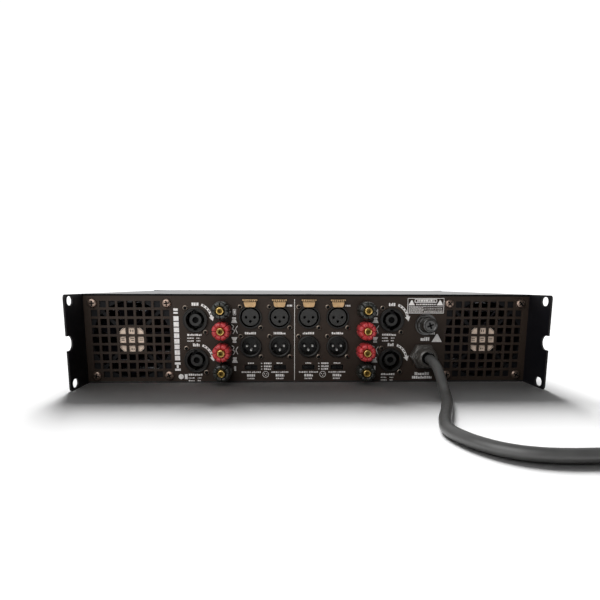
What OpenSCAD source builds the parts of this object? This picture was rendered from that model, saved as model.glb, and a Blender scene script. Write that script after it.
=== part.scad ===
// Four-channel rack power amplifier, two rack units high.
// The rear panel, with its connectors, faces -Y. The front panel faces +Y. The base lies at Z = 0.

/* [Case] */
// Width of the chassis between the outer faces of its side plates
case_w = 442; // [430:1:446]
// Height of the case, two rack units
case_h = 88; // [86:0.5:88.5]
// Distance from the front panel's face to the rear panel's face
body_d = 343; // [320:1:420]
// Thickness of the sheet steel
sheet = 1.5; // [1.2:0.1:2]
// How far each side plate runs on behind the rear panel, as a rack support
wing_d = 40; // [34:1:60]
// Height of the folded lips on the cover and the base
lip_h = 12; // [8:1:14]

/* [Rack fixing] */
// Width of the front panel
rack_w = 482.6; // [482:0.1:483]
// Thickness of the front panel
front_t = 4; // [3:0.5:5]
// Distance across between the rack slots
rack_slot_x = 465.1; // [464:0.1:466]
// Distance up between the rack slots, front and rear
rack_slot_z = 76.2; // [76:0.1:76.4]
// Length of a front rack slot
slot_l = 10.3; // [9:0.1:12]
// Width of a front rack slot
slot_w = 6.4; // [6:0.1:7.2]
// Length of a slot in the rear supports
wing_slot_l = 12; // [10:0.5:14]
// Height of a slot in the rear supports
wing_slot_w = 8.4; // [6.4:0.1:9]
// Height of the open notch in the rear supports
notch_w = 13.5; // [10:0.5:16]

/* [Fans] */
// Distance from the centre to each fan
fan_x = 175; // [172:1:176]
// Height of the fan centres
fan_z = 43.2; // [42:0.2:45]
// Size of the square fan frame
fan_size = 80; // [76:1:82]
// Distance between a fan's screws
fan_hole = 71.5; // [68:0.5:73]
// Number of blades on each rotor
blades = 7; // [5:1:9]
// Side of one square grille hole
grille_hole = 6.3; // [5:0.1:7]
// Distance between grille holes
grille_pitch = 8.7; // [8:0.1:9]

/* [Connectors] */
// X of the line that the four channels are set out about
field_x = -15; // [-20:0.5:0]
// Distance from that line to the speaker outlets
speaker_x = 97; // [94:0.5:99]
// Distance from that line to the binding posts
post_x = 70.2; // [68:0.1:72]
// Distance between neighbouring input connectors
xlr_pitch = 28.75; // [27:0.05:29]
// How far a release tab is pushed
latch_travel = 1.5; // [1:0.1:2]
// Travel of a slide switch
switch_travel = 6; // [4:0.5:7]

/* [Front] */
// Diameter of a level knob
knob_d = 20; // [16:0.5:22]
// Distance between level knobs
knob_pitch = 34; // [30:1:38]
// How far the handles stand out from the front panel
handle_d = 33; // [28:1:45]

/* [Mains lead] */
// Diameter of the mains lead
lead_d = 9; // [7:0.5:10]
// Radius of the outer turns of the coiled lead
coil_r = 58; // [50:1:60]

/* [Hidden] */
$fn = 48;

// The case is centred front to back over everything from the wing tips to the handles.
overall_d = wing_d + body_d + handle_d;
wing_y = -overall_d / 2;
rear_y = wing_y + wing_d;
front_y = rear_y + body_d;
panel_back_y = front_y - front_t;
inner_w = case_w - 2 * sheet;
inner_h = case_h - 2 * sheet;
mid_z = case_h / 2;
fit = 0.05;
gap = 0.3;

// Rear connectors: [x, z] of each, seen from behind, left to right and top to bottom
speaker_at = [for (x = [-1, 1], z = [62.6, 22.6]) [field_x + x * speaker_x, z]];
xlr_x = [for (i = [-1.5 : 1.5]) field_x + i * xlr_pitch];
xlr_in_z = 65.4;
xlr_link_z = 36.4;
switch_z = 15.2;
post_z = [72.5, 53, 32, 12.5];
post_at = [for (x = [-1, 1], z = post_z) [field_x + x * post_x, z]];
fuse_at = [116, 58.5];
gland_at = [114, 27];

// Screws in the cover and down the sides
cover_screw_y = [-150, -50, 50, 155];
cover_screw_x = 150;
side_screw_z = [case_h - sheet - lip_h / 2, sheet + lip_h / 2];

// Speaker outlets
speaker_r = 12.1;
speaker_socket_r = 9.1;
speaker_key_r = 10.2;
speaker_key_w = 3.6;
speaker_boss_r = 5.9;
speaker_boss_bore_r = 3.1;
speaker_screw = [9.5, 12];
speaker_flange = [26, 31];
socket_depth = 17;

// Input connectors
xlr_shell_r = 11.2;
xlr_groove_r = 9.9;
xlr_insert_r = 8.4;
xlr_link_r = 10.9;
xlr_cavity_r = 8.5;
xlr_pin_r = 1.2;
xlr_contact_r = 1.35;
xlr_contacts = [[-4.2, 0], [4.2, 0], [0, -4.1]];
xlr_screw = [10, 10.2];
xlr_depth = 18;
latch_w = 12.6;
latch_h = 7.4;
latch_z = 10.1;
latch_stem = [6, 2.4];
latch_stem_z = 14;

// Binding posts
post_bore_r = 2.05;
post_stem_r = 3.2;
post_cap_r = 8.8;
post_cap_l = 18;
post_base_r = 7.2;
post_base_l = 3;
post_stem_l = post_base_l + post_cap_l + 1;
flutes = 8;

// Slide switches
switch_window = [12.6, 5];
switch_knob = [4.6, 3.6];

// Fuse holder
fuse_flange_r = 10.6;
fuse_body_r = 9.3;
fuse_cap_r = 7.4;
fuse_tube_r = 2.6;

// Mains cable gland
gland_flats = 23;
gland_nut_l = 9;
gland_dome_l = 16;
gland_end_r = 8;

// Front panel
intake = [112, 60];
intake_x = 137;
rocker_at = [0, 17];
rocker_window = [26, 11];
rocker_tilt = 8;
knob_z = 56;
knob_l = 15;
shaft_r = 3;
led_z = 33;
led_window = [22, 5];
handle_x = 212;
handle_r = 4.5;
handle_span = 52;

// Mains lead: where it leaves the gland, its run over the floor and its coil
lead_r = lead_d / 2;
coil_layers = 2;
coil_inner_r = coil_r - lead_d;
coil_at = [274, -338];
plug_r = 18.4;
plug_x = coil_at[0] + coil_r;
plug_y = -300;
lead_start = [
    [114, -193, 27], [114, -197, 27], [114, -205, 26.2], [114.5, -214, 23.6], [114.5, -223, 18.8],
    [114.5, -232, 12.2], [113.5, -241, 7.6], [112, -250, 5.2], [109.5, -260, 4.5], [106, -272, 4.5],
    [101, -286, 4.5], [96, -300, 4.5], [90, -315, 4.5], [85, -330, 4.5], [82, -345, 4.5],
    [85, -362, 4.5], [92, -376, 4.5], [102, -387, 4.5], [115, -393.5, 4.5], [130, -396, 4.5],
    [150, -396, 4.5], [175, -396, 4.5], [200, -396, 4.5], [225, -396, 4.5], [250, -396, 4.5],
    [270, -396, 4.5]
];
lead_end = [
    [332, -342, 13.5], [332, -334, 13.8], [332, -326, 15], [332, -316, 17],
    [332, -308, 18.2], [332, -300, 18.4]
];
lead_sides = 10;

// Circuit boards: their thickness and the main board's height
board_t = 1.6;
board_z = 9;

// Places a part on the rear panel at [x, z], with its local Z pointing out of the panel.
module on_rear(at, out = 0) {
    translate([at[0], rear_y - out, at[1]]) rotate([90, 0, 0]) children();
}

// Places a part on the front panel at [x, z], with its local Z pointing out of the panel.
module on_front(at, out = 0) {
    translate([at[0], front_y + out, at[1]]) rotate([-90, 0, 0]) children();
}

// A slot with round ends, its length along X
module slot_2d(l, w) {
    square([l - w, w], center = true);
    for (s = [-1, 1]) translate([s * (l - w) / 2, 0]) circle(d = w);
}

// A rectangle with round corners
module rounded_2d(size, r) {
    square([size[0] - 2 * r, size[1]], center = true);
    square([size[0], size[1] - 2 * r], center = true);
    for (x = [-1, 1], y = [-1, 1])
        translate([x * (size[0] / 2 - r), y * (size[1] / 2 - r)]) circle(r);
}

// A tube, from the bottom of its wall to the top
module tube(r_out, r_in, h) {
    difference() {
        cylinder(r = r_out, h = h);
        translate([0, 0, -1]) cylinder(r = r_in, h = h + 2);
    }
}

// A pan-head screw standing on z = 0, with a cross recess and its shank below
module pan_screw(r, head_h, shank_r, shank_l) {
    difference() {
        union() {
            cylinder(r = r, h = head_h * 0.55);
            translate([0, 0, head_h * 0.55]) cylinder(r1 = r, r2 = r * 0.62, h = head_h * 0.45);
        }
        for (a = [0, 90]) rotate(a)
            translate([0, 0, head_h]) cube([r * 1.1, r * 0.26, head_h * 0.9], center = true);
    }
    translate([0, 0, -shank_l]) cylinder(r = shank_r, h = shank_l);
}

// ---- Case ----

module cover_sheet(z, lip_z) {
    translate([-inner_w / 2, rear_y, z]) cube([inner_w, panel_back_y - rear_y, sheet]);
    for (s = [-1, 1])
        translate([s * (inner_w - sheet) / 2, (rear_y + panel_back_y) / 2, lip_z])
            cube([sheet, panel_back_y - rear_y - 20, lip_h], center = true);
}

module base_plate() {
    color("dimgray") cover_sheet(0, sheet + lip_h / 2);
}

module top_cover() {
    color([0.12, 0.12, 0.13]) difference() {
        cover_sheet(case_h - sheet, case_h - sheet - lip_h / 2);
        for (y = [cover_screw_y[0], cover_screw_y[3]], x = [-1, 0, 1])
            translate([x * cover_screw_x, y, case_h - 2 * sheet]) cylinder(r = 3.1, h = 3 * sheet);
    }
}

// One side plate seen from its own side, running on behind the rear panel as a slotted wing
module side_plate_2d() {
    corner_r = 3.5;
    slot_y = 29.2;
    notch_depth = 11;
    difference() {
        union() {
            translate([-wing_d + corner_r, 0]) square([wing_d - corner_r + body_d - front_t, case_h]);
            translate([-wing_d, corner_r]) square([corner_r, case_h - 2 * corner_r]);
            for (z = [corner_r, case_h - corner_r]) translate([-wing_d + corner_r, z]) circle(corner_r);
        }
        for (s = [-1, 1]) translate([-slot_y, mid_z + s * rack_slot_z / 2]) slot_2d(wing_slot_l, wing_slot_w);
        for (y = cover_screw_y, z = side_screw_z) translate([y - rear_y, z]) circle(1.6);
        translate([-wing_d + notch_depth - notch_w / 2, mid_z]) circle(d = notch_w);
        translate([-wing_d - 1, mid_z - notch_w / 2]) square([notch_depth - notch_w / 2 + 1, notch_w]);
    }
}

module side_plate(side) {
    color([0.1, 0.1, 0.12])
        translate([side > 0 ? case_w / 2 - sheet : -case_w / 2, rear_y, 0])
            rotate([90, 0, 90]) linear_extrude(sheet) side_plate_2d();
}

// Nine rows and columns of square holes without the four corners
module fan_holes_2d() {
    last = 4;
    for (i = [-last : last], j = [-last : last])
        if (abs(i) < last || abs(j) < last)
            translate([i * grille_pitch, j * grille_pitch]) square(grille_hole, center = true);
}

module rear_cutouts_2d() {
    for (s = [-1, 1]) translate([s * fan_x, fan_z]) {
        fan_holes_2d();
        for (x = [-1, 1], z = [-1, 1]) translate([x, z] * fan_hole / 2) circle(2);
    }
    for (p = speaker_at) translate(p) {
        circle(speaker_r + fit);
        for (s = [-1, 1]) translate([-s * speaker_screw[0], s * speaker_screw[1]]) circle(1.6);
    }
    for (x = xlr_x) {
        translate([x, xlr_in_z]) circle(xlr_shell_r + fit);
        translate([x, xlr_in_z + latch_stem_z]) square(latch_stem + [0.6, 0.6], center = true);
        translate([x, xlr_link_z]) circle(xlr_link_r + fit);
        translate([x, switch_z]) square(switch_window, center = true);
        for (z = [xlr_in_z, xlr_link_z], s = [-1, 1])
            translate([x - s * xlr_screw[0], z + s * xlr_screw[1]]) circle(1.6);
    }
    for (p = post_at) translate(p) circle(4.5);
    translate(fuse_at) circle(fuse_body_r - 1);
    translate(gland_at) circle(8);
}

module rear_panel() {
    color([0.16, 0.14, 0.13])
        on_rear([0, 0], -sheet) linear_extrude(sheet) difference() {
            translate([-inner_w / 2, sheet]) square([inner_w, inner_h]);
            rear_cutouts_2d();
        }
}

module rear_screws() {
    color([0.5, 0.46, 0.42]) {
        for (s = [-1, 1], x = [-1, 1], z = [-1, 1])
            on_rear([s * fan_x + x * fan_hole / 2, fan_z + z * fan_hole / 2]) pan_screw(3.7, 2.4, 1.8, 8);
        for (p = speaker_at, s = [-1, 1])
            on_rear([p[0] - s * speaker_screw[0], p[1] + s * speaker_screw[1]]) pan_screw(2.6, 1.6, 1.4, 3.5);
        for (x = xlr_x, z = [xlr_in_z, xlr_link_z], s = [-1, 1])
            on_rear([x - s * xlr_screw[0], z + s * xlr_screw[1]]) pan_screw(2.5, 1.6, 1.4, 3.5);
    }
}

// Flush screws in the cover and pan heads down both sides
module case_screws() {
    color([0.2, 0.2, 0.21]) {
        for (y = [cover_screw_y[0], cover_screw_y[3]], x = [-1, 0, 1])
            translate([x * cover_screw_x, y, case_h - sheet]) cylinder(r = 2.9, h = sheet - 0.1);
        for (s = [-1, 1], y = cover_screw_y, z = side_screw_z)
            translate([s * case_w / 2, y, z]) rotate([0, s * 90, 0]) pan_screw(3, 1.7, 1.5, 0.9 * sheet);
    }
}

// ---- Fans ----

module fan_frame(side) {
    hub_r = 15;
    hub_t = 2.6;
    strut_w = 3.4;
    bore_r = 38;
    frame_d = 25;
    color([0.06, 0.06, 0.06])
        on_rear([side * fan_x, fan_z], -sheet) translate([0, 0, -frame_d]) difference() {
            union() {
                linear_extrude(frame_d) difference() {
                    rounded_2d([fan_size, fan_size], 4);
                    circle(bore_r);
                    for (x = [-1, 1], y = [-1, 1]) translate([x, y] * fan_hole / 2) circle(2);
                }
                translate([0, 0, frame_d - hub_t]) cylinder(r = hub_r, h = hub_t - 0.4);
                for (a = [45 : 90 : 315]) rotate(a)
                    translate([hub_r - 1, -strut_w / 2, frame_d - hub_t])
                        cube([bore_r - hub_r + 1.6, strut_w, hub_t - 0.4]);
            }
            translate([0, 0, frame_d - hub_t - 1]) cylinder(r = 1.5 + fit, h = 2.4);
        }
}

module fan_rotor(side) {
    hub_r = 14.5;
    hub_l = 18;
    blade_w = 22;
    blade_t = 1.6;
    tip_r = 36.6;
    pitch = 36;
    color([0.09, 0.09, 0.1])
        on_rear([side * fan_x, fan_z], -sheet - 24) {
            cylinder(r = hub_r, h = hub_l);
            translate([0, 0, hub_l]) cylinder(r = 1.5, h = 4.6);
            for (i = [0 : blades - 1]) rotate(i * 360 / blades)
                translate([hub_r - 1, 0, hub_l / 2]) rotate([90 - pitch, 0, 0])
                    translate([0, -blade_w / 2, -blade_t / 2]) cube([tip_r - hub_r + 1, blade_w, blade_t]);
        }
}

// ---- Inside ----

module main_board() {
    board = [-125, -120, 145, 250];
    color([0.05, 0.3, 0.14]) {
        translate([board[0], board[1], board_z]) cube([board[2], board[3], board_t]);
        for (x = [8, board[2] - 8], y = [8, board[3] / 2, board[3] - 8])
            translate([board[0] + x, board[1] + y, sheet]) cylinder(r = 3, h = board_z - sheet);
    }
}

module input_board() {
    board_w = 118;
    color([0.05, 0.3, 0.14])
        translate([field_x - board_w / 2, rear_y + sheet + xlr_depth + 2, 8]) cube([board_w, board_t, 72]);
}

// Two finned extrusions, each in line with its fan
module heatsinks() {
    wall = 6;
    fin_t = 2;
    fin_l = 74;
    fins = 9;
    length = 190;
    fin_pitch = (inner_h - 6) / fins;
    color([0.62, 0.63, 0.65])
        for (s = [-1, 1]) translate([s * 136, rear_y + 36, sheet + 3]) {
            translate([-wall / 2, 0, 0]) cube([wall, length, inner_h - 6]);
            for (i = [0 : fins - 1])
                translate([s > 0 ? 0 : -fin_l, 0, (i + 0.5) * fin_pitch - fin_t / 2])
                    cube([fin_l, length, fin_t]);
        }
}

module transformer() {
    core_r = 52;
    hole_r = 16;
    core_h = 52;
    round_r = 12;
    color([0.55, 0.35, 0.12]) translate([78, 40, sheet]) {
        rotate_extrude() translate([(core_r + hole_r) / 2, core_h / 2])
            rounded_2d([core_r - hole_r, core_h], round_r);
        tube(hole_r, 3, core_h + 2);
    }
}

module capacitors() {
    can_r = 12.5;
    can_h = 42;
    color([0.08, 0.1, 0.25])
        for (i = [0 : 3], j = [0 : 1])
            translate([-106 + i * 30, -60 + j * 40, board_z + board_t]) cylinder(r = can_r, h = can_h);
}

// ---- Speaker outlets ----

module speaker_sockets() {
    proud = 1.8;
    color([0.13, 0.13, 0.13])
        for (p = speaker_at) on_rear(p, -sheet) difference() {
            union() {
                translate([0, 0, -socket_depth]) cylinder(r = speaker_r, h = socket_depth + sheet + proud);
                translate([0, 0, -2]) linear_extrude(2) rounded_2d(speaker_flange, 3);
            }
            translate([0, 0, -socket_depth - 1]) cylinder(r = speaker_socket_r, h = socket_depth + 6);
            for (s = [-1, 1]) {
                translate([-speaker_key_w / 2, s > 0 ? 0 : -speaker_key_r, -socket_depth + 2])
                    cube([speaker_key_w, speaker_key_r, socket_depth + 6]);
                translate([-s * speaker_screw[0], s * speaker_screw[1], -4]) cylinder(r = 1.6, h = 6);
            }
        }
}

// The closed back of each outlet, with the boss that carries the contacts
module speaker_inserts() {
    back = 2;
    recess = 3.5;
    color([0.3, 0.3, 0.31])
        for (p = speaker_at) on_rear(p, -sheet - socket_depth) {
            cylinder(r = speaker_socket_r, h = back);
            difference() {
                cylinder(r = speaker_boss_r, h = socket_depth + sheet);
                translate([0, 0, socket_depth + sheet - recess])
                    cylinder(r = speaker_boss_bore_r, h = recess + 1);
            }
        }
}

// ---- Input connectors ----

module xlr_inputs() {
    proud = 1.4;
    color([0.12, 0.12, 0.12])
        for (x = xlr_x) on_rear([x, xlr_in_z], -sheet - xlr_depth) difference() {
            tube(xlr_shell_r, xlr_groove_r, xlr_depth + sheet + proud);
            translate([-latch_w / 2 - 1, latch_z - 0.6, xlr_depth - 6])
                cube([latch_w + 2, 4, sheet + proud + 8]);
        }
}

module xlr_inserts() {
    back = 2;
    color([0.33, 0.33, 0.34])
        for (x = xlr_x) on_rear([x, xlr_in_z], -sheet - xlr_depth) difference() {
            union() {
                cylinder(r = xlr_groove_r, h = back);
                cylinder(r = xlr_insert_r, h = xlr_depth + sheet + 1);
            }
            for (c = xlr_contacts) translate([c[0], c[1], 6]) cylinder(r = xlr_contact_r, h = xlr_depth);
        }
}

// The tab that is pushed to release a plug: a tapered plate with a lip, on a stem through the panel
module xlr_latch(i) {
    plate_t = 2;
    stand = latch_travel + 0.7;
    lip_w = 14.4;
    taper = 1;
    color([0.86, 0.72, 0.42])
        on_rear([xlr_x[i], xlr_in_z], stand) {
            linear_extrude(plate_t) polygon([
                [-latch_w / 2, latch_z + latch_h - 1.2], [-latch_w / 2 + taper, latch_z + 1.2],
                [-latch_w / 2 + taper + 1, latch_z], [latch_w / 2 - taper - 1, latch_z],
                [latch_w / 2 - taper, latch_z + 1.2], [latch_w / 2, latch_z + latch_h - 1.2]
            ]);
            translate([-lip_w / 2, latch_z + latch_h - 1.2, 0]) cube([lip_w, 1.2, plate_t + 0.8]);
            translate([-latch_stem[0] / 2, latch_stem_z - latch_stem[1] / 2, -stand - sheet - 6])
                cube([latch_stem[0], latch_stem[1], stand + sheet + 6.01]);
        }
}

module xlr_links() {
    proud = 2;
    back = 2;
    depth = 14;
    color([0.12, 0.12, 0.12])
        for (x = xlr_x) on_rear([x, xlr_link_z], -sheet - depth) difference() {
            union() {
                cylinder(r = xlr_link_r, h = depth + sheet + proud - 0.8);
                translate([0, 0, depth + sheet + proud - 0.8])
                    cylinder(r1 = xlr_link_r, r2 = xlr_link_r - 0.7, h = 0.8);
            }
            translate([0, 0, back]) cylinder(r = xlr_cavity_r, h = depth + sheet + proud);
            for (c = xlr_contacts) translate([c[0], c[1], -1]) cylinder(r = xlr_pin_r, h = back + 2);
        }
}

module xlr_pins() {
    pin_l = 13;
    color([0.8, 0.8, 0.78])
        for (x = xlr_x, c = xlr_contacts)
            on_rear([x + c[0], xlr_link_z + c[1]], -sheet - 14) {
                cylinder(r = xlr_pin_r, h = pin_l - 1);
                translate([0, 0, pin_l - 1]) cylinder(r1 = xlr_pin_r, r2 = xlr_pin_r - 0.5, h = 1);
            }
}

// ---- Binding posts ----

module post_bases() {
    color([0.05, 0.05, 0.05])
        for (p = post_at) on_rear(p) difference() {
            union() {
                cylinder(r = post_base_r, h = post_base_l - gap);
                translate([0, 0, -sheet]) cylinder(r = 4.4, h = sheet);
            }
            translate([0, 0, -sheet - 1]) cylinder(r = post_stem_r, h = post_base_l + sheet + 2);
        }
}

// Each stem takes a 4 mm plug in its bore
module post_stems() {
    bore_l = 19;
    tail_l = 8;
    color([0.85, 0.65, 0.25])
        for (p = post_at) on_rear(p) difference() {
            translate([0, 0, -sheet - tail_l]) cylinder(r = post_stem_r, h = sheet + tail_l + post_stem_l);
            translate([0, 0, post_stem_l - bore_l]) cylinder(r = post_bore_r, h = bore_l + 1);
        }
}

// A fluted cap that screws along its stem
module post_cap(i) {
    flute_r = 1.2;
    nose_l = 2;
    color(i % 4 == 1 || i % 4 == 2 ? [0.75, 0.05, 0.06] : [0.04, 0.04, 0.04])
        on_rear(post_at[i], post_base_l) difference() {
            union() {
                cylinder(r = post_cap_r - 1, h = nose_l);
                translate([0, 0, nose_l]) cylinder(r = post_cap_r, h = post_cap_l - 2 * nose_l);
                translate([0, 0, post_cap_l - nose_l])
                    cylinder(r1 = post_cap_r, r2 = post_cap_r - 1.6, h = nose_l);
            }
            translate([0, 0, -1]) cylinder(r = post_stem_r + fit, h = post_cap_l + 2);
            for (a = [0 : flutes - 1]) rotate((a + 0.5) * 360 / flutes)
                translate([post_cap_r + 0.3, 0, nose_l]) cylinder(r = flute_r, h = post_cap_l);
        }
}

// ---- Slide switches ----

module slide_switches() {
    body_l = 9;
    wall = 1.2;
    color([0.07, 0.07, 0.07])
        for (x = xlr_x) on_rear([x, switch_z], -sheet) translate([0, 0, -body_l]) difference() {
            linear_extrude(body_l)
                square([switch_window[0] + 2 * wall, switch_window[1] + 2 * wall], center = true);
            translate([0, 0, body_l - 4]) linear_extrude(5) square(switch_window, center = true);
        }
}

module slide_knob(i) {
    knob_h = 3.6;
    color([0.1, 0.1, 0.1])
        on_rear([xlr_x[i] - switch_travel / 2, switch_z], -sheet - 3.8)
            translate([-switch_knob[0] / 2, -switch_knob[1] / 2, 0])
                cube([switch_knob[0], switch_knob[1], knob_h]);
}

// ---- Fuse holder and cable gland ----

module fuse_holder() {
    flange_t = 2.5;
    body_out = 8;
    body_in = 30;
    color([0.06, 0.06, 0.06])
        on_rear(fuse_at) difference() {
            union() {
                cylinder(r = fuse_flange_r, h = flange_t);
                translate([0, 0, flange_t]) cylinder(r = fuse_body_r, h = body_out - flange_t);
                translate([0, 0, -sheet - body_in]) cylinder(r = fuse_body_r - 1.1, h = sheet + body_in);
            }
            translate([0, 0, -body_in]) cylinder(r = fuse_tube_r + 1.5, h = body_in + body_out + 1);
            translate([0, 0, body_out - 5]) cylinder(r = fuse_cap_r + fit, h = 6);
        }
}

// A bayonet cap with a coin slot
module fuse_cap() {
    cap_l = 15;
    color([0.05, 0.05, 0.05])
        on_rear(fuse_at, 3.2) difference() {
            union() {
                cylinder(r = fuse_cap_r, h = cap_l - 2);
                translate([0, 0, cap_l - 2]) cylinder(r1 = fuse_cap_r, r2 = fuse_cap_r - 1.2, h = 2);
            }
            translate([0, 0, cap_l]) cube([2, 2 * fuse_cap_r - 5, 5], center = true);
            translate([0, 0, cap_l - 1.2]) tube(fuse_cap_r - 2, fuse_cap_r - 2.8, 3);
        }
}

module fuse() {
    length = 20;
    color([0.8, 0.8, 0.82])
        on_rear(fuse_at, 2.8 - length) cylinder(r = fuse_tube_r, h = length);
}

module cable_gland() {
    nut_r = gland_flats / 2 / cos(30);
    dome_r = 10;
    color([0.11, 0.11, 0.12])
        on_rear(gland_at) {
            rotate(30) cylinder(r = nut_r, h = gland_nut_l, $fn = 6);
            translate([0, 0, gland_nut_l]) {
                cylinder(r1 = dome_r, r2 = dome_r - 0.6, h = gland_dome_l - 4);
                translate([0, 0, gland_dome_l - 4])
                    cylinder(r1 = dome_r - 0.6, r2 = gland_end_r - 0.6, h = 3);
                translate([0, 0, gland_dome_l - 1])
                    cylinder(r1 = gland_end_r - 0.6, r2 = lead_r + 1.5, h = 1);
            }
            translate([0, 0, -sheet - 6]) cylinder(r = 7.9, h = sheet + 6);
        }
}

// ---- Front ----

module front_panel() {
    color([0.1, 0.1, 0.11])
        on_front([0, 0], -front_t) mirror([0, 1, 0]) linear_extrude(front_t) difference() {
            translate([-rack_w / 2, 0]) square([rack_w, case_h]);
            for (x = [-1, 1], z = [-1, 1])
                translate([x * rack_slot_x / 2, mid_z + z * rack_slot_z / 2]) slot_2d(slot_l, slot_w);
            for (s = [-1, 1]) translate([s * intake_x, mid_z]) rounded_2d(intake, 4);
            for (i = [-1.5 : 1.5]) {
                translate([i * knob_pitch, knob_z]) circle(shaft_r + fit);
                translate([i * knob_pitch, led_z]) square(led_window, center = true);
            }
            translate(rocker_at) square(rocker_window + [1.6, 1.6], center = true);
        }
}

module front_grilles() {
    rows = 10;
    plate = intake + [4, 4];
    slot = [intake[0] / 2 - 4, 3];
    color([0.08, 0.08, 0.08])
        for (s = [-1, 1])
            on_front([s * intake_x, mid_z], -front_t - sheet) linear_extrude(sheet) difference() {
                square(plate, center = true);
                for (x = [-1, 1], i = [0 : rows - 1])
                    translate([x * intake[0] / 4, (i - (rows - 1) / 2) * intake[1] / rows])
                        square(slot, center = true);
            }
}

module dust_filters() {
    foam_t = 6;
    color([0.2, 0.2, 0.2])
        for (s = [-1, 1])
            translate([s * intake_x, panel_back_y - sheet - foam_t / 2, mid_z])
                cube([intake[0], foam_t, intake[1]], center = true);
}

// A U-shaped bar: two legs, two quarter bends and a grip
module handle(side) {
    bend_r = 9;
    reach = handle_d - handle_r;
    color([0.13, 0.13, 0.14])
        translate([side * handle_x, front_y, mid_z]) {
            for (s = [-1, 1]) {
                translate([0, 0, s * handle_span / 2]) rotate([-90, 0, 0])
                    cylinder(r = handle_r, h = reach - bend_r);
                translate([0, reach - bend_r, s * (handle_span / 2 - bend_r)])
                    rotate([s > 0 ? 0 : -90, 0, 0]) rotate([90, 0, 90])
                        rotate_extrude(angle = 90) translate([bend_r, 0]) circle(handle_r);
            }
            translate([0, reach, -handle_span / 2 + bend_r])
                cylinder(r = handle_r, h = handle_span - 2 * bend_r);
        }
}

module gain_knob(i) {
    skirt_h = 2;
    grip_r = knob_d / 2 - 1.8;
    grips = 12;
    color([0.08, 0.08, 0.08])
        on_front([(i - 1.5) * knob_pitch, knob_z]) difference() {
            union() {
                translate([0, 0, gap]) cylinder(r = knob_d / 2, h = skirt_h);
                translate([0, 0, gap + skirt_h]) cylinder(r = grip_r, h = knob_l - skirt_h);
                translate([0, 0, -front_t - 6]) cylinder(r = shaft_r, h = front_t + 6 + 1);
            }
            for (a = [0 : grips - 1]) rotate((a + 0.5) * 360 / grips)
                translate([grip_r + 0.2, 0, gap + skirt_h + 1]) cylinder(r = 0.8, h = knob_l);
            translate([-0.6, 1 - grip_r, gap + knob_l - 1]) cube([1.2, grip_r - 3, 3]);
        }
}

module rocker_frame() {
    color([0.05, 0.05, 0.05])
        on_front(rocker_at, -front_t) {
            linear_extrude(front_t) difference() {
                square(rocker_window + [1.5, 1.5], center = true);
                square(rocker_window, center = true);
            }
            translate([0, 0, front_t]) linear_extrude(1) difference() {
                rounded_2d(rocker_window + [5, 5], 2);
                square(rocker_window, center = true);
            }
        }
}

module power_rocker() {
    half = rocker_window[1] / 2 - 0.9;
    length = rocker_window[0] - 1.2;
    color([0.07, 0.07, 0.07])
        translate([rocker_at[0] - length / 2, front_y, rocker_at[1]]) rotate([rocker_tilt, 0, 0])
            rotate([90, 0, 90]) linear_extrude(length)
                polygon([[-2.6, -half + 0.8], [2.2, -half], [1.2, 0], [2.2, half], [-2.6, half - 0.8]]);
}

module led_windows() {
    color([0.2, 0.05, 0.05])
        for (i = [-1.5 : 1.5])
            on_front([i * knob_pitch, led_z], -front_t) linear_extrude(front_t + 0.3)
                square(led_window - [0.1, 0.1], center = true);
}

// ---- Mains lead ----

function unit(v) = v / norm(v);
function heading(route, i) = unit(route[min(i + 1, len(route) - 1)] - route[max(i - 1, 0)]);
function across(t) = unit(cross(t, [0, 0, 1]));
function ring(route, i) =
    let (t = heading(route, i), a = across(t), b = cross(a, t))
    [for (k = [0 : lead_sides - 1])
        route[i] + lead_r * (cos(k * 360 / lead_sides) * a + sin(k * 360 / lead_sides) * b)];

// A round tube swept along a route
module sweep(route) {
    n = len(route);
    m = lead_sides;
    points = [for (i = [0 : n - 1]) each ring(route, i)];
    polyhedron(points, concat(
        [[for (k = [0 : m - 1]) k]],
        [for (i = [0 : n - 2], k = [0 : m - 1])
            [i * m + k, (i + 1) * m + k, (i + 1) * m + (k + 1) % m, i * m + (k + 1) % m]],
        [[for (k = [m - 1 : -1 : 0]) (n - 1) * m + k]]
    ), convexity = 10);
}

module mains_lead() {
    color([0.2, 0.2, 0.21]) {
        sweep(lead_start);
        sweep(lead_end);
    }
}

// The outer shape of the coiled length, two turns wide and two high
module mains_coil() {
    color([0.22, 0.22, 0.23])
        translate([coil_at[0], coil_at[1], 0])
            tube(coil_r + lead_r, coil_inner_r - lead_d * 0.9, coil_layers * lead_d);
}

module mains_plug() {
    relief_l = 26;
    shoulder_l = 14;
    body_l = 20;
    pin_r = 2.4;
    pin_l = 19;
    pin_x = 9.5;
    color([0.12, 0.12, 0.12])
        translate([plug_x, plug_y, plug_r]) rotate([-90, 0, 0]) {
            cylinder(r1 = lead_r + 0.3, r2 = lead_r + 3, h = relief_l);
            translate([0, 0, relief_l]) cylinder(r1 = plug_r * 0.62, r2 = plug_r, h = shoulder_l);
            translate([0, 0, relief_l + shoulder_l]) cylinder(r = plug_r, h = body_l);
            for (s = [-1, 1])
                translate([s * pin_x, 0, relief_l + shoulder_l + body_l]) cylinder(r = pin_r, h = pin_l);
        }
}

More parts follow.
